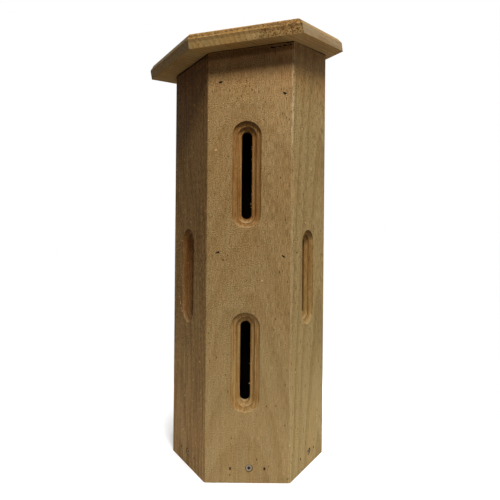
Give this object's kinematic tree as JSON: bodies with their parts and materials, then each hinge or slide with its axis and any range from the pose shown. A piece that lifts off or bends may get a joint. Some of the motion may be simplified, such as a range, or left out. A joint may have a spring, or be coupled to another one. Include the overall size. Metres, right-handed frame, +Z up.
{
  "type": "butterfly house",
  "caption": "Hexagonal wooden butterfly house: mitred boards with routed entry slots, a recessed floor and a sloping, bevelled, overhanging roof board.",
  "frame": {"origin": "centre of the floor board's underside, on the tower's axis; the walls' feet stand 7 mm lower", "axes": "+Z up along the tower, -Y out of the front two-slot board, +X to the right seen from the front"},
  "size_m": [0.2318, 0.2034, 0.4968],
  "materials": {
    "wall_board_beech": "bare sanded beech, pale with short dark flecks",
    "wall_board_oak": "bare planed hardwood with long open-pored grain",
    "roof_board": "bare hardwood, coarse end grain on the cut edges",
    "floor_board": "bare planed hardwood",
    "zinc_screw": "dull zinc plating",
    "steel_brad": "dull dark steel, sunk in the wood"
  },
  "bodies": {
    "root": {"wall_front": "wall_board_beech", "wall_right": "wall_board_oak", "wall_back_right": "wall_board_oak", "wall_back": "wall_board_oak", "wall_back_left": "wall_board_oak", "wall_left": "wall_board_oak", "floor_board": "floor_board", "roof_board": "roof_board", "floor_screw_front": "zinc_screw", "floor_brad_front_1": "steel_brad", "floor_brad_front_2": "steel_brad", "mitre_brad_front_upper_left": "steel_brad", "mitre_brad_front_upper_right": "steel_brad", "mitre_brad_front_middle_left": "steel_brad", "mitre_brad_front_middle_right": "steel_brad", "roof_brad_front": "steel_brad", "floor_screw_right": "zinc_screw", "floor_brad_right_1": "steel_brad", "floor_brad_right_2": "steel_brad", "mitre_brad_right_upper_left": "steel_brad", "mitre_brad_right_upper_right": "steel_brad", "mitre_brad_right_middle_left": "steel_brad", "mitre_brad_right_middle_right": "steel_brad", "roof_brad_right": "steel_brad", "floor_screw_back_right": "zinc_screw", "floor_brad_back_right_1": "steel_brad", "floor_brad_back_right_2": "steel_brad", "mitre_brad_back_right_upper_left": "steel_brad", "mitre_brad_back_right_upper_right": "steel_brad", "mitre_brad_back_right_middle_left": "steel_brad", "mitre_brad_back_right_middle_right": "steel_brad", "roof_brad_back_right": "steel_brad", "floor_screw_back": "zinc_screw", "floor_brad_back_1": "steel_brad", "floor_brad_back_2": "steel_brad", "mitre_brad_back_upper_left": "steel_brad", "mitre_brad_back_upper_right": "steel_brad", "mitre_brad_back_middle_left": "steel_brad", "mitre_brad_back_middle_right": "steel_brad", "roof_brad_back": "steel_brad", "floor_screw_back_left": "zinc_screw", "floor_brad_back_left_1": "steel_brad", "floor_brad_back_left_2": "steel_brad", "mitre_brad_back_left_upper_left": "steel_brad", "mitre_brad_back_left_upper_right": "steel_brad", "mitre_brad_back_left_middle_left": "steel_brad", "mitre_brad_back_left_middle_right": "steel_brad", "roof_brad_back_left": "steel_brad", "floor_screw_left": "zinc_screw", "floor_brad_left_1": "steel_brad", "floor_brad_left_2": "steel_brad", "mitre_brad_left_upper_left": "steel_brad", "mitre_brad_left_upper_right": "steel_brad", "mitre_brad_left_middle_left": "steel_brad", "mitre_brad_left_middle_right": "steel_brad", "roof_brad_left": "steel_brad"}
  },
  "joints": []
}
